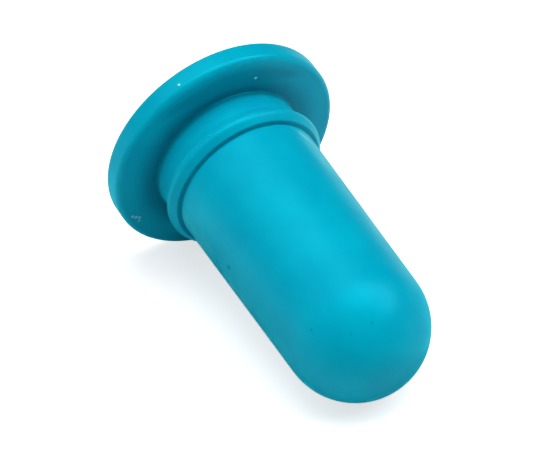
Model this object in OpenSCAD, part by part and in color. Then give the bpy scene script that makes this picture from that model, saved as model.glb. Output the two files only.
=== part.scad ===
// Pipette filler bulb: one hollow moulding of soft rubber, lying on its side.
// Each section below is drawn upright, radius along X and distance from the mouth along Y, and is
// then turned about the bulb's own axis. The finished bulb lies with its mouth towards -X and its
// closed end towards +X. It rests on the flange's rim and on the dome, so its axis slopes a little.

/* [Overall] */
// Length along the axis, from the mouth's face to the end of the dome
bulb_len = 60; // [52:0.5:90]
// Thickness of the wall around the air chamber
wall = 2.4; // [1.5:0.1:3.5]

/* [Flange] */
// Diameter of the flange
flange_d = 41.6; // [34:0.2:60]
// Thickness of the flange
flange_t = 3.9; // [2.6:0.1:5]
// Rounding of the flange's edge on the side of the body
edge_r = 1; // [0.4:0.1:1.2]
// Rounding of the flange's edge on the side of the mouth
lip_r = 0.4; // [0.2:0.1:0.6]

/* [Neck] */
// Diameter of the neck where it leaves the flange
neck_d = 26.6; // [22:0.1:30]
// Diameter of the neck where it reaches the bead
neck_top_d = 26.6; // [22:0.1:31]
// Rounding of the corner between flange and neck
root_r = 0.4; // [0.4:0.1:1.5]

/* [Bead] */
// Outer diameter of the raised ring
bead_d = 29.2; // [25:0.2:36]
// Rounding of the ring
bead_r = 1.4; // [1:0.1:2.5]
// Distance of the ring's crest from the mouth's face
bead_z = 10.8; // [9:0.1:14]

/* [Body] */
// Diameter of the body next to the bead
body_d = 25.9; // [22:0.1:32]
// Diameter of the body where the dome begins, and of the dome
dome_d = 24.7; // [20:0.1:31]

/* [Mouth] */
// Diameter of the bore that grips the pipette
bore_d = 7.5; // [4:0.1:10]
// Diameter of the funnel at the mouth
funnel_d = 11.5; // [8:0.5:16]
// Depth of the funnel
funnel_len = 2.5; // [1:0.1:4]
// Length of the bore, from the funnel to the air chamber
bore_len = 6.5; // [5:0.1:9]
// Length of the slope from the bore to the full width of the air chamber
shoulder_len = 3.5; // [2:0.1:6]

/* [Hidden] */

$fn = 144;
flange_r = flange_d / 2;
dome_r = dome_d / 2;
dome_z = bulb_len - dome_r;
chamber_z = funnel_len + bore_len;
chamber_d = body_d - 2 * wall;

// The floor touches the rounding of the flange's edge and the dome. Both are circles in the
// section, edge_run apart along the axis and edge_drop apart across it.
edge_run = dome_z - (flange_t - edge_r);
edge_drop = flange_r - edge_r;
tilt = atan(edge_drop / edge_run) - asin((dome_r - edge_r) / norm([edge_run, edge_drop]));
floor_drop = dome_z * sin(tilt) + dome_r;

// Ends of the lying bulb along X: the lower corner of the flange at the mouth's face, and the dome.
low_x = lip_r * cos(tilt) - (flange_r - lip_r) * sin(tilt) - lip_r;
high_x = dome_z * cos(tilt) + dome_r;

// A band that narrows or widens evenly from one diameter to the other
module band(d_low, d_high, z_low, z_high) {
    polygon([[0, z_low], [d_low / 2, z_low], [d_high / 2, z_high], [0, z_high]]);
}

module flange_section() {
    translate([0, lip_r])
        square([flange_r, flange_t - edge_r - lip_r]);
    square([flange_r - lip_r, lip_r]);
    translate([0, flange_t - edge_r])
        square([flange_r - edge_r, edge_r]);
    translate([flange_r - lip_r, lip_r])
        circle(lip_r);
    translate([flange_r - edge_r, flange_t - edge_r])
        circle(edge_r);
}

module neck_section() {
    band(neck_d, neck_top_d, flange_t, bead_z);
    difference() {
        translate([0, flange_t])
            square([neck_d / 2 + root_r, root_r]);
        translate([neck_d / 2 + root_r, flange_t + root_r])
            circle(root_r);
    }
}

module bead_section() {
    translate([bead_d / 2 - bead_r, bead_z])
        circle(bead_r);
}

module body_section() {
    band(body_d, dome_d, bead_z, dome_z);
    intersection() {
        translate([0, dome_z])
            circle(dome_r);
        translate([0, dome_z])
            square([dome_r, dome_r]);
    }
}

// Everything that is air: funnel, bore, shoulder, chamber and the inside of the dome
module hollow_section() {
    inner_r = dome_r - wall;
    shoulder_z = chamber_z + shoulder_len;
    translate([0, -1])
        square([funnel_d / 2, 1]);
    band(funnel_d, bore_d, 0, funnel_len);
    band(bore_d, bore_d, funnel_len, chamber_z);
    band(bore_d, chamber_d, chamber_z, shoulder_z);
    band(chamber_d, 2 * inner_r, shoulder_z, dome_z);
    intersection() {
        translate([0, dome_z])
            circle(inner_r);
        translate([0, dome_z])
            square([inner_r, inner_r]);
    }
}

module bulb() {
    color("#00A5BE")
        translate([-(low_x + high_x) / 2, 0, floor_drop])
        rotate([0, 90 + tilt, 0])
        rotate_extrude()
        difference() {
            union() {
                flange_section();
                neck_section();
                bead_section();
                body_section();
            }
            hollow_section();
        }
}

bulb();
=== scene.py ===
"""Pipette filler bulb in turquoise rubber, lying on a pale studio floor."""

import math

import bpy
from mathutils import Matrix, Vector


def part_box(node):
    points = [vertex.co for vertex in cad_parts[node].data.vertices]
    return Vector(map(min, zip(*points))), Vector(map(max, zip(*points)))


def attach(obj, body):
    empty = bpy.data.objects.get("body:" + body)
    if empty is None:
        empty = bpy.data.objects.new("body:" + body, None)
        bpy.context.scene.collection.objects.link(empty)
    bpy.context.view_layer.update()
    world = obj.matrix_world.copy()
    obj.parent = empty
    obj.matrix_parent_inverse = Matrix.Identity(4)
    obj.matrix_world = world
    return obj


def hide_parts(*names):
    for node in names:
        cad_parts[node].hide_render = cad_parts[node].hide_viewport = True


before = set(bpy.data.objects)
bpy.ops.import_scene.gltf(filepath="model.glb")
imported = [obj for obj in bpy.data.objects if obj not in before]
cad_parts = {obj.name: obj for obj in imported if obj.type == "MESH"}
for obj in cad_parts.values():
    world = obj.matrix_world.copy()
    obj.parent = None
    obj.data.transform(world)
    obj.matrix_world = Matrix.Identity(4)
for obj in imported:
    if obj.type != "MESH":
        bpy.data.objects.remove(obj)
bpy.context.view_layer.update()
BULB_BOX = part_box("bulb")

bl_info = {
    "name": "Pipette Filler Bulb",
    "version": (1, 0, 0),
    "blender": (4, 5, 0),
    "location": "3D View > Sidebar > Bulb",
    "description": "Builds a lying rubber pipette filler bulb and the studio around it",
    "category": "Object",
}

MM = 0.001

# Paint of the floor that is seen and of the hidden one below it, 0 for black and 1 for white
SHOWN_PAINT = 0.62
BOUNCE_PAINT = 0.9

# Cards on the floor that only the gloss mirrors: their tints, how far out they reach, and their
# inner edges, in metres
PALE_TINT = (0.65, 0.97, 1.0)
BLUE_TINT = (0.12, 0.88, 1.0)
CARD_REACH = 0.4
BEHIND_RIGHT = 0.023
BEHIND_FRONT = 0.02
SIDE_SPLIT = -0.018
BACK_EDGE = -0.036

# Width of each softbox as the bulb sees it, in degrees
SOFTBOX_WIDTH = 45

# Across the axis, the way from the body's middle to the flank that faces up and sideways; the
# painted sheen lies on this flank and the one across from it
TO_FLANK = (-0.48, 0.88, 0)

# Where the row of marks starts in the material's node tree, and how far apart the marks are
MARKS_START = 900
MARK_WIDTH = 260

# Marks of use on the skin: distance from the mouth and from the axis in millimetres, degrees
# round the axis from +Y upwards, radius in millimetres, and how pale (above 0) or dark (below 0).
SPECKS = {
    "white speck on the rim": (2.5, 20.8, 118, 0.3, 1.0),
    "pale speck on the flange": (3.9, 16.3, 75, 0.34, 0.9),
    "end of the scuff": (3.9, 18.9, 212, 0.36, 0.4),
    "dark speck on the body": (28.0, 12.7, 178, 0.55, -1.0),
    "faint speck on the dome": (55.0, 9.9, 104, 0.34, -0.4),
    "faint speck where the dome begins": (50.0, 12.1, 148, 0.34, -0.4),
    "faint speck beside the dome's tip": (54.7, 10.1, 126, 0.3, -0.35),
    "pale speck on the mouth's face": (0.0, 12.6, 160, 0.4, 0.5),
    "dark speck beside the funnel": (0.0, 9.1, 20, 0.3, -0.5),
    "pale speck underneath": (33.5, 12.6, 268, 0.4, 0.4),
    "dark speck underneath": (41.0, 12.5, 310, 0.3, -0.5),
}

# Trails of such marks, and one painted highlight, from one end to the other, and how many marks
# make up each.
TRAILS = {
    "scuff on the flange": ((3.9, 19.3, 206, 0.42, 0.52), (3.9, 18.5, 210, 0.42, 0.52), 3),
    # A painted highlight: a pale streak just past the ring's crease, where the body's edge catches
    # glancing light
    "painted highlight beside the ring": ((13.9, 12.9, 52, 0.88, 0.2), (16.6, 12.9, 39, 0.88, 0.16), 5),
}


# ---------------------------------------------------------------- settings


class BulbSizes(bpy.types.PropertyGroup):
    """Sizes of the moulding, measured along its own axis from the mouth's face."""

    length: bpy.props.FloatProperty(
        name="Length", description="Mouth's face to the end of the dome",
        default=60 * MM, unit="LENGTH",
    )
    flange_radius: bpy.props.FloatProperty(
        name="Flange radius", description="Half the bulb's greatest width",
        default=(BULB_BOX[1][1] - BULB_BOX[0][1]) / 2, unit="LENGTH",
    )
    flange_thickness: bpy.props.FloatProperty(
        name="Flange thickness", description="Mouth's face to the flange's inner face",
        default=3.9 * MM, unit="LENGTH",
    )
    edge_rounding: bpy.props.FloatProperty(
        name="Edge rounding", description="Rounding of the flange's edge on the body's side",
        default=1.0 * MM, unit="LENGTH",
    )
    neck_radius: bpy.props.FloatProperty(
        name="Neck radius", description="Radius of the neck between flange and ring",
        default=13.3 * MM, unit="LENGTH",
    )
    ring_radius: bpy.props.FloatProperty(
        name="Ring radius", description="Radius at the crest of the raised ring",
        default=14.6 * MM, unit="LENGTH",
    )
    ring_place: bpy.props.FloatProperty(
        name="Ring place", description="Distance of the ring's crest from the mouth's face",
        default=10.75 * MM, unit="LENGTH",
    )
    ring_rounding: bpy.props.FloatProperty(
        name="Ring rounding", description="Rounding of the ring's crest",
        default=1.2 * MM, unit="LENGTH",
    )
    body_radius: bpy.props.FloatProperty(
        name="Body radius", description="Radius of the body beside the ring",
        default=12.94 * MM, unit="LENGTH",
    )
    dome_radius: bpy.props.FloatProperty(
        name="Dome radius", description="Radius of the closed end",
        default=12.35 * MM, unit="LENGTH",
    )
    wall: bpy.props.FloatProperty(
        name="Wall", description="Thickness of the wall round the air chamber",
        default=2.4 * MM, unit="LENGTH",
    )
    bore_radius: bpy.props.FloatProperty(
        name="Bore radius", description="Radius of the bore that grips the pipette",
        default=3.75 * MM, unit="LENGTH",
    )
    funnel_radius: bpy.props.FloatProperty(
        name="Funnel radius", description="Radius of the funnel at the mouth's face",
        default=5.75 * MM, unit="LENGTH",
    )
    funnel_depth: bpy.props.FloatProperty(
        name="Funnel depth", description="Depth of the funnel",
        default=2.5 * MM, unit="LENGTH",
    )
    bore_length: bpy.props.FloatProperty(
        name="Bore length", description="Length of the bore past the funnel",
        default=6.5 * MM, unit="LENGTH",
    )
    around: bpy.props.IntProperty(
        name="Steps around", description="Steps of the mesh round the axis",
        default=240, min=24, max=400,
    )
    unevenness: bpy.props.FloatProperty(
        name="Unevenness", description="How far the soft skin wanders from true",
        default=0.05 * MM, unit="LENGTH",
    )


class RubberLook(bpy.types.PropertyGroup):
    """Colours and finish of the moulded rubber."""

    colour: bpy.props.FloatVectorProperty(
        name="Colour", description="Main turquoise of the rubber",
        subtype="COLOR", size=3, default=(0.0, 0.40, 0.56),
    )
    deep_colour: bpy.props.FloatVectorProperty(
        name="Deep colour", description="Cooler tone of the faint clouding",
        subtype="COLOR", size=3, default=(0.0, 0.35, 0.52),
    )
    gloss_tint: bpy.props.FloatVectorProperty(
        name="Gloss tint", description="Colour of the gloss seen head on",
        subtype="COLOR", size=3, default=(0.0, 0.85, 1.0),
    )
    roughness: bpy.props.FloatProperty(
        name="Roughness", description="Mean roughness of the skin",
        default=0.34, min=0, max=1, subtype="FACTOR",
    )
    refraction: bpy.props.FloatProperty(
        name="Refraction", description="Index of refraction, which sets how strong the gloss is",
        default=1.54, min=1, max=2,
    )
    velvet: bpy.props.FloatProperty(
        name="Velvet", description="Lighter turquoise at glancing angles",
        default=0.55, min=0, max=1, subtype="FACTOR",
    )
    # Pale colour of the specks, scuffs and dust, and of the painted highlight beside the ring
    pale_and_highlight_colour: bpy.props.FloatVectorProperty(
        name="Pale colour", description="Bloom, scuffs and dust on the skin",
        subtype="COLOR", size=3, default=(0.42, 0.78, 0.86),
    )
    # Painted sheen: tone of the pale blotches on both flanks past the ring, standing in for
    # glancing light on the body's edges
    sheen_colour: bpy.props.FloatVectorProperty(
        name="Bloom colour", description="Tone of the dry bloom on the flanks of the body",
        subtype="COLOR", size=3, default=(0.12, 0.72, 0.78),
    )
    # Dark colour of the specks, and of the painted shade in the corners, the crease and on the
    # flange's upper side
    speck_and_shade_colour: bpy.props.FloatVectorProperty(
        name="Dark colour", description="Grime in the corners and dark specks",
        subtype="COLOR", size=3, default=(0.0, 0.11, 0.19),
    )
    # Painted sheen: strength of the pale blotches on both flanks past the ring
    edge_sheen: bpy.props.FloatProperty(
        name="Painted sheen", description="Strength of the dry bloom on the flanks of the body",
        default=0.28, min=0, max=1, subtype="FACTOR",
    )
    # Painted shade: how much the colour is darkened in the corner between neck and flange, in the
    # crease beside the ring and on the flange's upper side
    painted_shade: bpy.props.FloatProperty(
        name="Painted shade", description="Strength of the grime in the corners and on top of the flange",
        default=0.75, min=0, max=1, subtype="FACTOR",
    )


class StudioSetup(bpy.types.PropertyGroup):
    """Camera, floor and lights round the bulb."""

    azimuth: bpy.props.FloatProperty(
        name="Azimuth", description="Direction of the camera round the bulb",
        default=math.radians(60.45), subtype="ANGLE",
    )
    elevation: bpy.props.FloatProperty(
        name="Elevation", description="Height angle of the camera",
        default=math.radians(37.0), subtype="ANGLE",
    )
    distance: bpy.props.FloatProperty(
        name="Distance", description="Camera to the point it looks at",
        default=0.4951, unit="LENGTH",
    )
    aim: bpy.props.FloatVectorProperty(
        name="Aim", description="Point the camera looks at",
        subtype="TRANSLATION", size=3, default=(-0.00328, -0.00313, 0.01945),
    )
    lens: bpy.props.FloatProperty(
        name="Lens", description="Focal length of the camera, in millimetres",
        default=200, min=20, max=600,
    )
    overhead: bpy.props.FloatProperty(
        name="Overhead", description="Strength of the softbox straight above", default=1.72, min=0,
    )
    side: bpy.props.FloatProperty(
        name="Side", description="Strength of the high softbox on the camera's right",
        default=1.68, min=0,
    )
    back: bpy.props.FloatProperty(
        name="Back", description="Strength of the high softbox on the camera's left",
        default=0.51, min=0,
    )
    low: bpy.props.FloatProperty(
        name="Low", description="Strength of the low softbox on the left, which has no gloss",
        default=0.6, min=0,
    )
    card: bpy.props.FloatProperty(
        name="Card", description="Brightness of the cards that the edges mirror",
        default=0.85, min=0,
    )
    glow: bpy.props.FloatProperty(
        name="Glow", description="Light that the shown floor gives off, which keeps shadows faint",
        default=0.67, min=0,
    )


# ---------------------------------------------------------------- section of the moulding


# Points of an outline closer together than this, in metres, are one point
TOUCHING = 1e-7


def rounded_corner(before, corner, after, radius, step):
    """Points of the arc of the given radius that rounds one corner of an outline."""
    toward = (before - corner).normalized()
    away = (after - corner).normalized()
    half_turn = toward.angle(away) / 2
    bisector = (toward + away).normalized()
    centre = corner + bisector * (radius / math.sin(half_turn))
    reach = radius / math.tan(half_turn)
    start = (corner + toward * reach) - centre
    sweep = start.angle_signed((corner + away * reach) - centre)
    count = max(2, math.ceil(abs(sweep) / step))
    points = []
    for i in range(count + 1):
        turn = -sweep * i / count
        spun = Vector((
            start.x * math.cos(turn) - start.y * math.sin(turn),
            start.x * math.sin(turn) + start.y * math.cos(turn),
        ))
        points.append(centre + spun)
    return points


def arc(centre, radius, start, end, step):
    """Points on a circle of the section, from one angle to the other."""
    count = max(2, math.ceil(abs(end - start) / step))
    angles = [start + (end - start) * i / count for i in range(count + 1)]
    return [centre + Vector((math.cos(a), math.sin(a))) * radius for a in angles]


def tangent_angle(point, centre, radius):
    """Angle on a circle where a straight line from the point just touches it."""
    gap = point - centre
    return math.atan2(gap.y, gap.x) + math.acos(radius / gap.length)


def filled(points, longest):
    """The same outline with its long straight stretches cut into short ones."""
    result = [points[0]]
    for last, point in zip(points, points[1:]):
        gap = (point - last).length
        if gap < TOUCHING:
            continue
        count = math.ceil(gap / longest)
        result += [last.lerp(point, i / count) for i in range(1, count + 1)]
    return result


def bulb_section(s):
    """Outline of half the bulb, radius and distance from the mouth, from the dome's tip over the
    outside to the mouth and back through the inside."""
    corner_step = math.radians(7)
    outer_step = math.radians(3)
    inner_step = math.radians(5)
    longest_stretch = 0.8 * MM
    shoulder_length = 3.5 * MM
    crease_width = 0.45 * MM
    crease_depth = 0.08 * MM
    crease_slant = 0.05 * MM
    flank_length = 1.2 * MM
    flank_drop = 0.95 * MM
    crease_rounding = 0.1 * MM
    small_rounding = 0.35 * MM
    lip_rounding = 0.5 * MM
    bore_rounding = 0.6 * MM
    funnel_rounding = 0.8 * MM
    chamber_rounding = 2.0 * MM
    foot_rounding = 2.2 * MM

    dome_centre = Vector((0, s.length - s.dome_radius))
    ring_end = s.ring_place + s.ring_rounding
    ring_start = s.ring_place - 0.7 * s.ring_rounding
    ring_foot = ring_start - 0.9 * (s.ring_radius - s.neck_radius)
    shoulder = Vector((s.body_radius, ring_end + crease_width))
    outer_touch = tangent_angle(shoulder, dome_centre, s.dome_radius)
    points = arc(dome_centre, s.dome_radius, math.pi / 2, outer_touch, outer_step)
    chamber_start = s.funnel_depth + s.bore_length
    chamber = Vector((s.body_radius - s.wall, chamber_start + shoulder_length))
    inner_radius = s.dome_radius - s.wall
    inner_touch = tangent_angle(chamber, dome_centre, inner_radius)
    inner_dome = arc(dome_centre, inner_radius, inner_touch, math.pi / 2, inner_step)
    corners = [
        (shoulder, small_rounding),
        (Vector((s.body_radius - crease_depth, ring_end + crease_slant)), crease_rounding),
        (Vector((s.ring_radius - flank_drop, ring_end - crease_slant)), small_rounding),
        (Vector((s.ring_radius, ring_end - flank_length)), s.ring_rounding),
        (Vector((s.ring_radius, ring_start)), 0.65 * s.ring_rounding),
        (Vector((s.neck_radius, ring_foot)), foot_rounding),
        (Vector((s.neck_radius, s.flange_thickness)), small_rounding),
        (Vector((s.flange_radius, s.flange_thickness)), s.edge_rounding),
        (Vector((s.flange_radius, 0)), lip_rounding),
        (Vector((s.funnel_radius, 0)), funnel_rounding),
        (Vector((s.bore_radius, s.funnel_depth)), funnel_rounding),
        (Vector((s.bore_radius, chamber_start)), bore_rounding),
        (chamber, chamber_rounding),
    ]
    path = [points[-1]] + [place for place, radius in corners] + [inner_dome[0]]
    for i, (place, radius) in enumerate(corners):
        points += rounded_corner(path[i], place, path[i + 2], radius, corner_step)
    return filled(points + inner_dome, longest_stretch)


def resting_slope(s):
    """Slope of the axis when the flange's rim and the dome both touch the floor, and the height
    of the mouth's middle above the floor."""
    edge = s.edge_rounding
    run = s.length - s.dome_radius - s.flange_thickness + edge
    drop = s.flange_radius - edge
    slope = math.atan2(drop, run) - math.asin((s.dome_radius - edge) / math.hypot(run, drop))
    height = (s.length - s.dome_radius) * math.sin(slope) + s.dome_radius
    return slope, height


def mouth_place(s):
    """Middle of the mouth's face on the lying bulb; the dome's end sits on the frame's box."""
    slope, height = resting_slope(s)
    dome_x = BULB_BOX[1][0] - s.dome_radius
    return Vector((dome_x - (s.length - s.dome_radius) * math.cos(slope), 0, height))


# ---------------------------------------------------------------- geometry nodes


def moulding_tree():
    """Turns an outline about an axis into the closed skin of a soft moulding."""
    tree = bpy.data.node_groups.new("Turned Moulding", "GeometryNodeTree")
    face = tree.interface
    face.new_socket("Geometry", in_out="INPUT", socket_type="NodeSocketGeometry")
    face.new_socket("Steps Around", in_out="INPUT", socket_type="NodeSocketInt")
    face.new_socket("Unevenness", in_out="INPUT", socket_type="NodeSocketFloat")
    face.new_socket("Wander Scale", in_out="INPUT", socket_type="NodeSocketFloat")
    face.new_socket("Seed", in_out="INPUT", socket_type="NodeSocketFloat")
    face.new_socket("Axis Turn", in_out="INPUT", socket_type="NodeSocketFloat")
    face.new_socket("Mouth Place", in_out="INPUT", socket_type="NodeSocketVector")
    face.new_socket("Material", in_out="INPUT", socket_type="NodeSocketMaterial")
    face.new_socket("Geometry", in_out="OUTPUT", socket_type="NodeSocketGeometry")
    nodes, links = tree.nodes, tree.links

    given = nodes.new("NodeGroupInput")
    given.location = (-1500, 0)
    result = nodes.new("NodeGroupOutput")
    result.location = (1900, 0)

    size = nodes.new("GeometryNodeAttributeDomainSize")
    size.label = "Points in the outline"
    size.location = (-1250, 300)
    columns = nodes.new("ShaderNodeMath")
    columns.operation = "ADD"
    columns.label = "One extra column to close on"
    columns.location = (-1250, 100)
    columns.inputs[1].default_value = 1
    grid = nodes.new("GeometryNodeMeshGrid")
    grid.label = "Sheet to be wrapped"
    grid.location = (-1000, 300)

    index = nodes.new("GeometryNodeInputIndex")
    index.location = (-1250, -150)
    row = nodes.new("ShaderNodeMath")
    row.operation = "DIVIDE"
    row.label = "Row"
    row.location = (-1000, -50)
    whole_row = nodes.new("ShaderNodeMath")
    whole_row.operation = "FLOOR"
    whole_row.label = "Place along the outline"
    whole_row.location = (-800, -50)
    column = nodes.new("ShaderNodeMath")
    column.operation = "MODULO"
    column.label = "Place around"
    column.location = (-1000, -250)
    part_turn = nodes.new("ShaderNodeMath")
    part_turn.operation = "DIVIDE"
    part_turn.label = "Part of a turn"
    part_turn.location = (-800, -250)
    angle = nodes.new("ShaderNodeMath")
    angle.operation = "MULTIPLY"
    angle.label = "Angle around"
    angle.location = (-600, -250)
    angle.inputs[1].default_value = 2 * math.pi

    position = nodes.new("GeometryNodeInputPosition")
    position.location = (-800, 150)
    outline_point = nodes.new("GeometryNodeSampleIndex")
    outline_point.data_type = "FLOAT_VECTOR"
    outline_point.label = "Outline point of this row"
    outline_point.location = (-600, 50)
    turned = nodes.new("ShaderNodeVectorRotate")
    turned.rotation_type = "Z_AXIS"
    turned.label = "Turn about the bulb's axis"
    turned.location = (-380, 0)

    wander = nodes.new("ShaderNodeTexNoise")
    wander.noise_dimensions = "4D"
    wander.label = "Slow wander of the soft skin"
    wander.location = (-380, -250)
    wander.inputs["Detail"].default_value = 1.5
    centred = nodes.new("ShaderNodeVectorMath")
    centred.operation = "SUBTRACT"
    centred.label = "Wander both ways"
    centred.location = (-160, -250)
    centred.inputs[1].default_value = (0.5, 0.5, 0.5)
    wandered = nodes.new("ShaderNodeVectorMath")
    wandered.operation = "SCALE"
    wandered.label = "Wander distance"
    wandered.location = (40, -250)
    moved = nodes.new("ShaderNodeVectorMath")
    moved.operation = "ADD"
    moved.label = "Uneven skin"
    moved.location = (240, -50)
    laid = nodes.new("ShaderNodeVectorRotate")
    laid.rotation_type = "Y_AXIS"
    laid.label = "Lay the axis down"
    laid.location = (440, -50)
    placed = nodes.new("ShaderNodeVectorMath")
    placed.operation = "ADD"
    placed.label = "Bring the mouth to its place"
    placed.location = (640, -50)

    shape = nodes.new("GeometryNodeSetPosition")
    shape.label = "Wrap the sheet"
    shape.location = (860, 200)
    merge = nodes.new("GeometryNodeMergeByDistance")
    merge.label = "Close seam and poles"
    merge.location = (1060, 200)
    merge.inputs["Distance"].default_value = 1e-6
    smooth = nodes.new("GeometryNodeSetShadeSmooth")
    smooth.location = (1260, 200)
    realize = nodes.new("GeometryNodeRealizeInstances")
    realize.location = (1460, 200)
    finish = nodes.new("GeometryNodeSetMaterial")
    finish.label = "Rubber"
    finish.location = (1660, 200)

    links.new(given.outputs["Geometry"], size.inputs["Geometry"])
    links.new(given.outputs["Steps Around"], columns.inputs[0])
    links.new(size.outputs["Point Count"], grid.inputs["Vertices X"])
    links.new(columns.outputs[0], grid.inputs["Vertices Y"])
    links.new(index.outputs[0], row.inputs[0])
    links.new(columns.outputs[0], row.inputs[1])
    links.new(row.outputs[0], whole_row.inputs[0])
    links.new(index.outputs[0], column.inputs[0])
    links.new(columns.outputs[0], column.inputs[1])
    links.new(column.outputs[0], part_turn.inputs[0])
    links.new(given.outputs["Steps Around"], part_turn.inputs[1])
    links.new(part_turn.outputs[0], angle.inputs[0])
    links.new(given.outputs["Geometry"], outline_point.inputs["Geometry"])
    links.new(position.outputs[0], outline_point.inputs["Value"])
    links.new(whole_row.outputs[0], outline_point.inputs["Index"])
    links.new(outline_point.outputs[0], turned.inputs["Vector"])
    links.new(angle.outputs[0], turned.inputs["Angle"])
    links.new(turned.outputs[0], wander.inputs["Vector"])
    links.new(given.outputs["Wander Scale"], wander.inputs["Scale"])
    links.new(given.outputs["Seed"], wander.inputs["W"])
    links.new(wander.outputs["Color"], centred.inputs[0])
    links.new(centred.outputs[0], wandered.inputs[0])
    links.new(given.outputs["Unevenness"], wandered.inputs["Scale"])
    links.new(turned.outputs[0], moved.inputs[0])
    links.new(wandered.outputs[0], moved.inputs[1])
    links.new(moved.outputs[0], laid.inputs["Vector"])
    links.new(given.outputs["Axis Turn"], laid.inputs["Angle"])
    links.new(laid.outputs[0], placed.inputs[0])
    links.new(given.outputs["Mouth Place"], placed.inputs[1])
    links.new(grid.outputs["Mesh"], shape.inputs["Geometry"])
    links.new(placed.outputs[0], shape.inputs["Position"])
    links.new(shape.outputs[0], merge.inputs["Geometry"])
    links.new(merge.outputs[0], smooth.inputs["Geometry"])
    links.new(smooth.outputs[0], realize.inputs["Geometry"])
    links.new(realize.outputs[0], finish.inputs["Geometry"])
    links.new(given.outputs["Material"], finish.inputs["Material"])
    links.new(finish.outputs[0], result.inputs["Geometry"])
    return tree


def turned_mesh(name, outline, settings):
    """Plain mesh of the turned moulding for an outline of radius and distance pairs."""
    mesh = bpy.data.meshes.new(name + "_outline")
    edges = [(i, i + 1) for i in range(len(outline) - 1)]
    mesh.from_pydata([(p.x, 0, p.y) for p in outline], edges, [])
    maker = bpy.data.objects.new(name + "_maker", mesh)
    bpy.context.collection.objects.link(maker)
    modifier = maker.modifiers.new("Turned Moulding", "NODES")
    modifier.node_group = moulding_tree()
    for item in modifier.node_group.interface.items_tree:
        if item.in_out == "INPUT" and item.name in settings:
            modifier[item.identifier] = settings[item.name]
    depsgraph = bpy.context.evaluated_depsgraph_get()
    plain = bpy.data.meshes.new_from_object(maker.evaluated_get(depsgraph))
    plain.name = name
    bpy.data.objects.remove(maker)
    bpy.data.meshes.remove(mesh)
    return plain


# ---------------------------------------------------------------- materials


def marks():
    """Every mark's name with its numbers, the trails cut into single marks."""
    found = list(SPECKS.items())
    for name, (first, last, count) in TRAILS.items():
        for i in range(count):
            share = i / (count - 1)
            found.append((
                f"{name} {i + 1}", [a + (b - a) * share for a, b in zip(first, last)],
            ))
    return found


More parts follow.
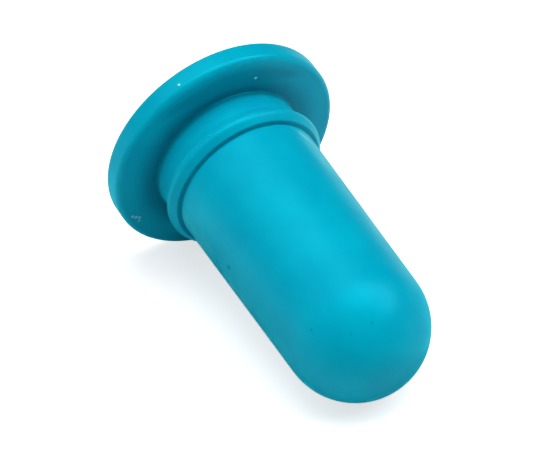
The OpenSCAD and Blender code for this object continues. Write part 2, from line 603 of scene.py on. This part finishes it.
def rubber_material(name, look, sizes, mouth, turn):
    """Satin moulded rubber: faint clouding, painted shade in the corners, painted sheen on the
    flanks, marks of use, a painted highlight beside the ring, dust, uneven gloss and a fine grain."""
    material = bpy.data.materials.new(name)
    material.use_nodes = True
    nodes, links = material.node_tree.nodes, material.node_tree.links
    nodes.clear()

    coordinates = nodes.new("ShaderNodeTexCoord")
    coordinates.label = "Position on the bulb"
    coordinates.location = (-1400, 0)
    along_axis = nodes.new("ShaderNodeMapping")
    along_axis.vector_type = "TEXTURE"
    along_axis.label = "Measure from the mouth, along the axis"
    along_axis.location = (-1200, 0)

    colour_frame = nodes.new("NodeFrame")
    colour_frame.label = "Colour"
    clouds = nodes.new("ShaderNodeTexNoise")
    clouds.label = "Clouding of the pigment"
    clouds.location = (-900, 400)
    clouds.parent = colour_frame
    cloud_amount = nodes.new("ShaderNodeMapRange")
    cloud_amount.label = "Faint clouding only"
    cloud_amount.location = (-700, 400)
    cloud_amount.parent = colour_frame
    tone = nodes.new("ShaderNodeMix")
    tone.data_type = "RGBA"
    tone.label = "Two turquoise tones"
    tone.location = (-480, 400)
    tone.parent = colour_frame

    place_frame = nodes.new("NodeFrame")
    place_frame.label = "Place on the bulb"
    parts = nodes.new("ShaderNodeSeparateXYZ")
    parts.label = "Distance from the mouth"
    parts.location = (-900, 1300)
    parts.parent = place_frame
    flat = nodes.new("ShaderNodeVectorMath")
    flat.operation = "MULTIPLY"
    flat.label = "Across the axis only"
    flat.location = (-900, 1120)
    flat.parent = place_frame
    across = nodes.new("ShaderNodeVectorMath")
    across.operation = "LENGTH"
    across.label = "Distance from the axis"
    across.location = (-700, 1120)
    across.parent = place_frame

    # Painted shade: the colour is darkened in the corner between neck and flange, in the crease
    # beside the ring and on the upper side of the flange's inner face, where shade falls
    shade_frame = nodes.new("NodeFrame")
    shade_frame.label = "Grime in the corners"
    near_neck = nodes.new("ShaderNodeMapRange")
    near_neck.label = "Close to the neck"
    near_neck.interpolation_type = "SMOOTHSTEP"
    near_neck.location = (-450, 1300)
    near_neck.parent = shade_frame
    off_flange = nodes.new("ShaderNodeMath")
    off_flange.operation = "SUBTRACT"
    off_flange.label = "Distance past the flange"
    off_flange.location = (-850, 1040)
    off_flange.parent = shade_frame
    from_flange = nodes.new("ShaderNodeMath")
    from_flange.operation = "ABSOLUTE"
    from_flange.label = "Distance to the flange's inner face"
    from_flange.location = (-650, 1040)
    from_flange.parent = shade_frame
    near_flange = nodes.new("ShaderNodeMapRange")
    near_flange.label = "Close to the flange"
    near_flange.interpolation_type = "SMOOTHSTEP"
    near_flange.location = (-450, 1040)
    near_flange.parent = shade_frame
    corner = nodes.new("ShaderNodeMath")
    corner.operation = "MULTIPLY"
    corner.label = "In the corner"
    corner.location = (-250, 1200)
    corner.parent = shade_frame
    crease = nodes.new("ShaderNodeMapRange")
    crease.label = "Crease beside the ring"
    crease.interpolation_type = "SMOOTHSTEP"
    crease.location = (-450, 1560)
    crease.parent = shade_frame
    on_top = nodes.new("ShaderNodeMapRange")
    on_top.label = "Upper side only"
    on_top.interpolation_type = "SMOOTHSTEP"
    on_top.location = (-450, 1820)
    on_top.parent = shade_frame
    inside_rim = nodes.new("ShaderNodeMapRange")
    inside_rim.label = "Inside the flange's rim"
    inside_rim.interpolation_type = "SMOOTHSTEP"
    inside_rim.location = (-450, 2080)
    inside_rim.parent = shade_frame
    upper_face = nodes.new("ShaderNodeMath")
    upper_face.operation = "MULTIPLY"
    upper_face.label = "Upper side, inside the rim"
    upper_face.location = (-250, 1900)
    upper_face.parent = shade_frame
    upper_shade = nodes.new("ShaderNodeMath")
    upper_shade.operation = "MULTIPLY"
    upper_shade.label = "Shaded on the upper side"
    upper_shade.location = (-250, 1700)
    upper_shade.parent = shade_frame
    all_shade = nodes.new("ShaderNodeMath")
    all_shade.operation = "MAXIMUM"
    all_shade.label = "All the grime"
    all_shade.location = (-160, 1560)
    all_shade.parent = shade_frame
    off_crease = nodes.new("ShaderNodeMath")
    off_crease.operation = "SUBTRACT"
    off_crease.label = "Distance past the crease"
    off_crease.location = (-850, 1560)
    off_crease.parent = shade_frame
    from_crease = nodes.new("ShaderNodeMath")
    from_crease.operation = "ABSOLUTE"
    from_crease.label = "Distance to the crease"
    from_crease.location = (-650, 1560)
    from_crease.parent = shade_frame
    either = nodes.new("ShaderNodeMath")
    either.operation = "MAXIMUM"
    either.label = "Corner or crease"
    either.location = (-160, 1400)
    either.parent = shade_frame
    painted_shade = nodes.new("ShaderNodeMath")
    painted_shade.operation = "MULTIPLY"
    painted_shade.label = "Painted shade"
    painted_shade.location = (-60, 1200)
    painted_shade.parent = shade_frame
    shaded = nodes.new("ShaderNodeMix")
    shaded.data_type = "RGBA"
    shaded.label = "Darker in the corners"
    shaded.location = (150, 1100)
    shaded.parent = shade_frame

    # Painted sheen: pale blotches on the two flanks of the body, from the ring fading towards the
    # dome, standing in for glancing light on its edges
    sheen_frame = nodes.new("NodeFrame")
    sheen_frame.label = "Bloom on the flanks"
    past_ring = nodes.new("ShaderNodeMapRange")
    past_ring.label = "From the ring on"
    past_ring.interpolation_type = "SMOOTHSTEP"
    past_ring.location = (-450, 780)
    past_ring.parent = sheen_frame
    fades = nodes.new("ShaderNodeMapRange")
    fades.label = "Fades along the body"
    fades.interpolation_type = "SMOOTHSTEP"
    fades.location = (-450, 520)
    fades.parent = sheen_frame
    blotches = nodes.new("ShaderNodeTexNoise")
    blotches.label = "Blotches of bloom"
    blotches.location = (-650, 700)
    blotches.parent = sheen_frame
    blotchy = nodes.new("ShaderNodeMapRange")
    blotchy.label = "Only some blotches"
    blotchy.location = (-250, 560)
    blotchy.parent = sheen_frame
    slanting = nodes.new("ShaderNodeVectorMath")
    slanting.operation = "DOT_PRODUCT"
    slanting.label = "Along the line through both flanks"
    slanting.location = (-850, 340)
    slanting.parent = sheen_frame
    to_side = nodes.new("ShaderNodeMath")
    to_side.operation = "ABSOLUTE"
    to_side.label = "Distance from the plane between the flanks"
    to_side.location = (-650, 340)
    to_side.parent = sheen_frame
    flanks = nodes.new("ShaderNodeMapRange")
    flanks.label = "On the flanks only"
    flanks.interpolation_type = "SMOOTHSTEP"
    flanks.location = (-450, 280)
    flanks.parent = sheen_frame
    flank_band = nodes.new("ShaderNodeMath")
    flank_band.operation = "MULTIPLY"
    flank_band.label = "Band on the flanks"
    flank_band.location = (-160, 380)
    flank_band.parent = sheen_frame
    band = nodes.new("ShaderNodeMath")
    band.operation = "MULTIPLY"
    band.label = "Fading from the ring to the dome"
    band.location = (-250, 780)
    band.parent = sheen_frame
    edge_sheen = nodes.new("ShaderNodeMath")
    edge_sheen.operation = "MULTIPLY"
    edge_sheen.label = "Painted sheen"
    edge_sheen.location = (-60, 700)
    edge_sheen.parent = sheen_frame
    sheened = nodes.new("ShaderNodeMix")
    sheened.data_type = "RGBA"
    sheened.label = "Paler on the flanks"
    sheened.location = (350, 900)
    sheened.parent = sheen_frame

    dust_frame = nodes.new("NodeFrame")
    dust_frame.label = "Dust"
    dust = nodes.new("ShaderNodeTexVoronoi")
    dust.label = "Scattered grains"
    dust.location = (0, 500)
    dust.parent = dust_frame
    grain_size = nodes.new("ShaderNodeMapRange")
    grain_size.label = "Small grains"
    grain_size.location = (200, 560)
    grain_size.parent = dust_frame
    chosen = nodes.new("ShaderNodeMath")
    chosen.operation = "GREATER_THAN"
    chosen.label = "Only a few of them"
    chosen.location = (200, 300)
    chosen.parent = dust_frame
    dusty = nodes.new("ShaderNodeMath")
    dusty.operation = "MULTIPLY"
    dusty.label = "Dust"
    dusty.location = (400, 500)
    dusty.parent = dust_frame
    dusted = nodes.new("ShaderNodeMix")
    dusted.data_type = "RGBA"
    dusted.label = "Pale dust"
    dusted.location = (600, 800)
    dusted.parent = dust_frame

    # Marks of use on the skin, and the painted highlight beside the ring, which stands in for
    # glancing light
    mark_frame = nodes.new("NodeFrame")
    mark_frame.label = "Marks of use"
    marked = dusted
    for i, (mark, (along, out, around, radius, strength)) in enumerate(marks()):
        turned_by = math.radians(around)
        left = MARKS_START + MARK_WIDTH * i
        gap = nodes.new("ShaderNodeVectorMath")
        gap.operation = "DISTANCE"
        gap.label = f"Distance to the {mark}"
        gap.location = (left, 1500)
        gap.parent = mark_frame
        gap.inputs[1].default_value = (
            -out * MM * math.sin(turned_by), out * MM * math.cos(turned_by), along * MM,
        )
        spot = nodes.new("ShaderNodeMapRange")
        spot.label = f"Soft edge of the {mark}"
        spot.interpolation_type = "SMOOTHSTEP"
        spot.location = (left, 1300)
        spot.parent = mark_frame
        spot.inputs["From Min"].default_value = radius * MM
        spot.inputs["From Max"].default_value = 0.4 * radius * MM
        spot.inputs["To Max"].default_value = abs(strength)
        painted = nodes.new("ShaderNodeMix")
        painted.data_type = "RGBA"
        painted.label = mark.capitalize()
        painted.location = (left, 1000)
        painted.parent = mark_frame
        tint = look.pale_and_highlight_colour if strength > 0 else look.speck_and_shade_colour
        painted.inputs["B"].default_value = (*tint, 1)
        links.new(along_axis.outputs[0], gap.inputs[0])
        links.new(gap.outputs["Value"], spot.inputs["Value"])
        links.new(spot.outputs[0], painted.inputs["Factor"])
        links.new(marked.outputs["Result"], painted.inputs["A"])
        marked = painted

    gloss_frame = nodes.new("NodeFrame")
    gloss_frame.label = "Gloss"
    smears = nodes.new("ShaderNodeTexNoise")
    smears.label = "Handled and dry patches"
    smears.location = (-900, 50)
    smears.parent = gloss_frame
    roughness = nodes.new("ShaderNodeMapRange")
    roughness.label = "Uneven roughness"
    roughness.location = (-700, 50)
    roughness.parent = gloss_frame

    grain_frame = nodes.new("NodeFrame")
    grain_frame.label = "Grain"
    grain = nodes.new("ShaderNodeTexNoise")
    grain.label = "Fine grain of the mould"
    grain.location = (-900, -300)
    grain.parent = grain_frame
    dimples = nodes.new("ShaderNodeTexNoise")
    dimples.label = "Soft dimples"
    dimples.location = (-900, -550)
    dimples.parent = grain_frame
    relief = nodes.new("ShaderNodeMath")
    relief.operation = "MULTIPLY_ADD"
    relief.label = "Grain over dimples"
    relief.location = (-700, -400)
    relief.parent = grain_frame
    bump = nodes.new("ShaderNodeBump")
    bump.label = "Skin relief"
    bump.location = (-480, -400)
    bump.parent = grain_frame

    rubber = nodes.new("ShaderNodeBsdfPrincipled")
    rubber.label = "Turquoise rubber"
    rubber.location = (marked.location.x + 400, 300)
    output = nodes.new("ShaderNodeOutputMaterial")
    output.location = (rubber.location.x + 350, 300)

    along_axis.inputs["Location"].default_value = mouth
    along_axis.inputs["Rotation"].default_value = (0, turn, 0)
    clouds.inputs["Scale"].default_value = 110
    clouds.inputs["Detail"].default_value = 4
    cloud_amount.inputs["From Min"].default_value = 0.35
    cloud_amount.inputs["From Max"].default_value = 0.65
    tone.inputs["A"].default_value = (*look.deep_colour, 1)
    tone.inputs["B"].default_value = (*look.colour, 1)
    flat.inputs[1].default_value = (1, 1, 0)
    near_neck.inputs["From Min"].default_value = 18.8 * MM
    near_neck.inputs["From Max"].default_value = sizes.neck_radius
    off_flange.inputs[1].default_value = sizes.flange_thickness
    near_flange.inputs["From Min"].default_value = 1.5 * MM
    near_flange.inputs["From Max"].default_value = 0.2 * MM
    on_top.inputs["From Min"].default_value = -11 * MM
    on_top.inputs["From Max"].default_value = -15 * MM
    on_top.inputs["To Max"].default_value = 0.75
    inside_rim.inputs["From Min"].default_value = 20.0 * MM
    inside_rim.inputs["From Max"].default_value = 17.5 * MM
    off_crease.inputs[1].default_value = sizes.ring_place + sizes.ring_rounding + 0.1 * MM
    crease.inputs["From Min"].default_value = 0.26 * MM
    crease.inputs["From Max"].default_value = 0.08 * MM
    crease.inputs["To Max"].default_value = 0.7
    painted_shade.inputs[1].default_value = look.painted_shade
    shaded.inputs["B"].default_value = (*look.speck_and_shade_colour, 1)
    past_ring.inputs["From Min"].default_value = 12.2 * MM
    past_ring.inputs["From Max"].default_value = 13.2 * MM
    fades.inputs["From Min"].default_value = 58 * MM
    fades.inputs["From Max"].default_value = 13.5 * MM
    slanting.inputs[1].default_value = TO_FLANK
    flanks.inputs["From Min"].default_value = 10.8 * MM
    flanks.inputs["From Max"].default_value = 12.6 * MM
    blotches.inputs["Scale"].default_value = 210
    blotches.inputs["Detail"].default_value = 6
    blotchy.inputs["From Min"].default_value = 0.42
    blotchy.inputs["From Max"].default_value = 0.68
    blotchy.inputs["To Max"].default_value = look.edge_sheen
    sheened.inputs["B"].default_value = (*look.sheen_colour, 1)
    dust.inputs["Scale"].default_value = 380
    grain_size.inputs["From Min"].default_value = 0.045
    grain_size.inputs["From Max"].default_value = 0.02
    grain_size.inputs["To Max"].default_value = 0.5
    chosen.inputs[1].default_value = 0.72
    dusted.inputs["B"].default_value = (*look.pale_and_highlight_colour, 1)
    smears.inputs["Scale"].default_value = 260
    smears.inputs["Detail"].default_value = 5
    roughness.inputs["From Min"].default_value = 0.3
    roughness.inputs["From Max"].default_value = 0.7
    roughness.inputs["To Min"].default_value = look.roughness - 0.05
    roughness.inputs["To Max"].default_value = look.roughness + 0.06
    grain.inputs["Scale"].default_value = 4200
    grain.inputs["Detail"].default_value = 2
    dimples.inputs["Scale"].default_value = 420
    dimples.inputs["Detail"].default_value = 3
    relief.inputs[1].default_value = 0.35
    bump.inputs["Strength"].default_value = 0.35
    bump.inputs["Distance"].default_value = 0.00012
    rubber.inputs["IOR"].default_value = look.refraction
    rubber.inputs["Specular Tint"].default_value = (*look.gloss_tint, 1)
    rubber.inputs["Sheen Weight"].default_value = look.velvet
    rubber.inputs["Sheen Roughness"].default_value = 0.4
    rubber.inputs["Sheen Tint"].default_value = (0.02, 0.75, 0.85, 1)

    links.new(coordinates.outputs["Object"], along_axis.inputs["Vector"])
    links.new(along_axis.outputs[0], clouds.inputs["Vector"])
    links.new(clouds.outputs["Fac"], cloud_amount.inputs["Value"])
    links.new(cloud_amount.outputs[0], tone.inputs["Factor"])
    links.new(along_axis.outputs[0], parts.inputs[0])
    links.new(along_axis.outputs[0], flat.inputs[0])
    links.new(flat.outputs[0], across.inputs[0])
    links.new(across.outputs["Value"], near_neck.inputs["Value"])
    links.new(parts.outputs["Z"], off_flange.inputs[0])
    links.new(off_flange.outputs[0], from_flange.inputs[0])
    links.new(from_flange.outputs[0], near_flange.inputs["Value"])
    links.new(near_neck.outputs[0], corner.inputs[0])
    links.new(near_flange.outputs[0], corner.inputs[1])
    links.new(parts.outputs["Z"], off_crease.inputs[0])
    links.new(off_crease.outputs[0], from_crease.inputs[0])
    links.new(from_crease.outputs[0], crease.inputs["Value"])
    links.new(corner.outputs[0], either.inputs[0])
    links.new(crease.outputs[0], either.inputs[1])
    links.new(parts.outputs["X"], on_top.inputs["Value"])
    links.new(across.outputs["Value"], inside_rim.inputs["Value"])
    links.new(on_top.outputs[0], upper_face.inputs[0])
    links.new(inside_rim.outputs[0], upper_face.inputs[1])
    links.new(upper_face.outputs[0], upper_shade.inputs[0])
    links.new(near_flange.outputs[0], upper_shade.inputs[1])
    links.new(upper_shade.outputs[0], all_shade.inputs[0])
    links.new(either.outputs[0], all_shade.inputs[1])
    links.new(all_shade.outputs[0], painted_shade.inputs[0])
    # Painted shade darkens the colour here
    links.new(painted_shade.outputs[0], shaded.inputs["Factor"])
    links.new(tone.outputs["Result"], shaded.inputs["A"])
    links.new(parts.outputs["Z"], past_ring.inputs["Value"])
    links.new(parts.outputs["Z"], fades.inputs["Value"])
    links.new(along_axis.outputs[0], blotches.inputs["Vector"])
    links.new(blotches.outputs["Fac"], blotchy.inputs["Value"])
    links.new(past_ring.outputs[0], band.inputs[0])
    links.new(fades.outputs[0], band.inputs[1])
    links.new(along_axis.outputs[0], slanting.inputs[0])
    links.new(slanting.outputs["Value"], to_side.inputs[0])
    links.new(to_side.outputs[0], flanks.inputs["Value"])
    links.new(band.outputs[0], flank_band.inputs[0])
    links.new(flanks.outputs[0], flank_band.inputs[1])
    links.new(flank_band.outputs[0], edge_sheen.inputs[0])
    links.new(blotchy.outputs[0], edge_sheen.inputs[1])
    # Painted sheen is mixed into the colour here
    links.new(edge_sheen.outputs[0], sheened.inputs["Factor"])
    links.new(shaded.outputs["Result"], sheened.inputs["A"])
    links.new(along_axis.outputs[0], dust.inputs["Vector"])
    links.new(dust.outputs["Distance"], grain_size.inputs["Value"])
    links.new(dust.outputs["Color"], chosen.inputs[0])
    links.new(grain_size.outputs[0], dusty.inputs[0])
    links.new(chosen.outputs[0], dusty.inputs[1])
    links.new(dusty.outputs[0], dusted.inputs["Factor"])
    links.new(sheened.outputs["Result"], dusted.inputs["A"])
    links.new(marked.outputs["Result"], rubber.inputs["Base Color"])
    links.new(along_axis.outputs[0], smears.inputs["Vector"])
    links.new(smears.outputs["Fac"], roughness.inputs["Value"])
    links.new(roughness.outputs[0], rubber.inputs["Roughness"])
    links.new(along_axis.outputs[0], grain.inputs["Vector"])
    links.new(along_axis.outputs[0], dimples.inputs["Vector"])
    links.new(grain.outputs["Fac"], relief.inputs[0])
    links.new(dimples.outputs["Fac"], relief.inputs[2])
    links.new(relief.outputs[0], bump.inputs["Height"])
    links.new(bump.outputs[0], rubber.inputs["Normal"])
    links.new(rubber.outputs[0], output.inputs["Surface"])
    return material


def matte_paint(name, paint, glow, glow_colour=(1.0, 1.0, 1.0)):
    """Grey to white paint without gloss, with a glow of its own, for the floors and cards."""
    material = bpy.data.materials.new(name)
    material.use_nodes = True
    nodes, links = material.node_tree.nodes, material.node_tree.links
    nodes.clear()

    surface = nodes.new("ShaderNodeBsdfPrincipled")
    surface.label = "Matte paint"
    surface.location = (0, 0)
    output = nodes.new("ShaderNodeOutputMaterial")
    output.location = (300, 0)

    surface.inputs["Base Color"].default_value = (paint, paint, paint, 1)
    surface.inputs["Roughness"].default_value = 1.0
    surface.inputs["Specular IOR Level"].default_value = 0.0
    surface.inputs["Emission Color"].default_value = (*glow_colour, 1)
    surface.inputs["Emission Strength"].default_value = glow

    links.new(surface.outputs[0], output.inputs["Surface"])
    return material


def flat_sheet(name, height, material, low=(-8.0, -8.0), high=(8.0, 8.0)):
    """Floor or card: a level sheet at a height, between two corners."""
    corners = [(low[0], low[1], height), (high[0], low[1], height),
               (high[0], high[1], height), (low[0], high[1], height)]
    mesh = bpy.data.meshes.new(name)
    mesh.from_pydata(corners, [], [(0, 1, 2, 3)])
    mesh.materials.append(material)
    sheet = bpy.data.objects.new(name, mesh)
    bpy.context.collection.objects.link(sheet)
    return sheet


def softbox(name, around, height, strength, mirrored=True):
    """Distant soft light from a direction given by two angles in degrees."""
    lamp = bpy.data.lights.new(name, "SUN")
    lamp.angle = math.radians(SOFTBOX_WIDTH)
    lamp.energy = strength
    holder = bpy.data.objects.new(name, lamp)
    turn, rise = math.radians(around), math.radians(height)
    toward = Vector((
        math.cos(turn) * math.cos(rise), math.sin(turn) * math.cos(rise), math.sin(rise),
    ))
    holder.rotation_euler = toward.to_track_quat("Z", "Y").to_euler()
    holder.visible_glossy = mirrored
    bpy.context.collection.objects.link(holder)


# ---------------------------------------------------------------- operators


class BULB_OT_moulding(bpy.types.Operator):
    """Make the bulb's skin, inside and out, and lay it on the floor"""

    bl_idname = "bulb.moulding"
    bl_label = "Make Bulb"

    def execute(self, context):
        sizes = context.scene.bulb_sizes
        slope, height = resting_slope(sizes)
        turn = math.pi / 2 + slope
        mouth = mouth_place(sizes)
        look = context.scene.rubber_look
        rubber = rubber_material("turquoise_rubber", look, sizes, mouth, turn)
        settings = {
            "Steps Around": sizes.around,
            "Unevenness": sizes.unevenness,
            "Wander Scale": 70.0,
            "Seed": 4.0,
            "Axis Turn": turn,
            "Mouth Place": mouth,
            "Material": rubber,
        }
        mesh = turned_mesh("bulb_moulding", bulb_section(sizes), settings)
        bulb = bpy.data.objects.new("bulb_moulding", mesh)
        context.collection.objects.link(bulb)
        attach(bulb, "root")
        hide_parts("bulb")
        return {"FINISHED"}


class BULB_OT_studio(bpy.types.Operator):
    """Lay the floors and cards, hang the lights and set the camera"""

    bl_idname = "bulb.studio"
    bl_label = "Make Studio"

    def execute(self, context):
        scene = context.scene
        setup = scene.studio_setup

        shown_floor = matte_paint("glowing_floor", SHOWN_PAINT, setup.glow)
        shown = flat_sheet("floor", 0.0, shown_floor)
        shown.visible_diffuse = False
        shown.visible_glossy = False
        shown.visible_shadow = False
        bounce_floor = matte_paint("white_floor", BOUNCE_PAINT, 0.0)
        bounce = flat_sheet("bounce_floor", -0.1 * MM, bounce_floor)
        bounce.visible_camera = False
        bounce.visible_glossy = False

        pale = matte_paint("card_pale", 0.0, setup.card, PALE_TINT)
        blue = matte_paint("card_blue", 0.0, setup.card, BLUE_TINT)
        right = ((-CARD_REACH, BEHIND_RIGHT), (SIDE_SPLIT, CARD_REACH))
        front = ((SIDE_SPLIT, BEHIND_FRONT), (CARD_REACH, CARD_REACH))
        behind = ((-CARD_REACH, -CARD_REACH), (BACK_EDGE, BEHIND_FRONT))
        card_height = 0.05 * MM
        cards = (
            flat_sheet("card_right", card_height, pale, *right),
            flat_sheet("card_front", card_height, blue, *front),
            flat_sheet("card_back", card_height, blue, *behind),
        )
        for card in cards:
            card.visible_camera = False
            card.visible_diffuse = False
            card.visible_shadow = False

        world = bpy.data.worlds.new("white_surroundings")
        scene.world = world
        world.use_nodes = True
        background = world.node_tree.nodes["Background"]
        background.inputs["Color"].default_value = (1, 1, 1, 1)
        background.inputs["Strength"].default_value = 1.0
        world.cycles_visibility.diffuse = False
        world.cycles_visibility.glossy = False

        softbox("softbox_overhead", 0, 90, setup.overhead)
        softbox("softbox_side", 60, 55, setup.side)
        softbox("softbox_back", 240, 55, setup.back)
        softbox("softbox_low", 270, 20, setup.low, mirrored=False)

        camera_data = bpy.data.cameras.new("camera")
        camera_data.lens = setup.lens
        camera_data.sensor_width = 36
        camera_data.clip_start = 0.01
        camera_data.clip_end = 20
        camera = bpy.data.objects.new("camera", camera_data)
        back = Vector((
            math.sin(setup.azimuth) * math.cos(setup.elevation),
            -math.cos(setup.azimuth) * math.cos(setup.elevation),
            math.sin(setup.elevation),
        ))
        camera.location = Vector(setup.aim) + back * setup.distance
        camera.rotation_euler = (-back).to_track_quat("-Z", "Y").to_euler()
        context.collection.objects.link(camera)
        scene.camera = camera
        scene.view_settings.view_transform = "Standard"
        return {"FINISHED"}


class BULB_PT_panel(bpy.types.Panel):
    """Lists the bulb's settings and the steps that build it"""

    bl_idname = "BULB_PT_panel"
    bl_label = "Pipette Filler Bulb"
    bl_space_type = "VIEW_3D"
    bl_region_type = "UI"
    bl_category = "Bulb"

    def draw(self, context):
        column = self.layout.column()
        for settings in ("bulb_sizes", "rubber_look", "studio_setup"):
            group = getattr(context.scene, settings)
            for name in group.__annotations__:
                column.prop(group, name)
        for operator in (BULB_OT_moulding, BULB_OT_studio):
            column.operator(operator.bl_idname)


CLASSES = (BulbSizes, RubberLook, StudioSetup, BULB_OT_moulding, BULB_OT_studio, BULB_PT_panel)


def register():
    for item in CLASSES:
        bpy.utils.register_class(item)
    bpy.types.Scene.bulb_sizes = bpy.props.PointerProperty(type=BulbSizes)
    bpy.types.Scene.rubber_look = bpy.props.PointerProperty(type=RubberLook)
    bpy.types.Scene.studio_setup = bpy.props.PointerProperty(type=StudioSetup)


def unregister():
    del bpy.types.Scene.bulb_sizes
    del bpy.types.Scene.rubber_look
    del bpy.types.Scene.studio_setup
    for item in reversed(CLASSES):
        bpy.utils.unregister_class(item)


def main():
    register()
    bpy.ops.bulb.moulding()
    bpy.ops.bulb.studio()


if __name__ == "__main__":
    main()
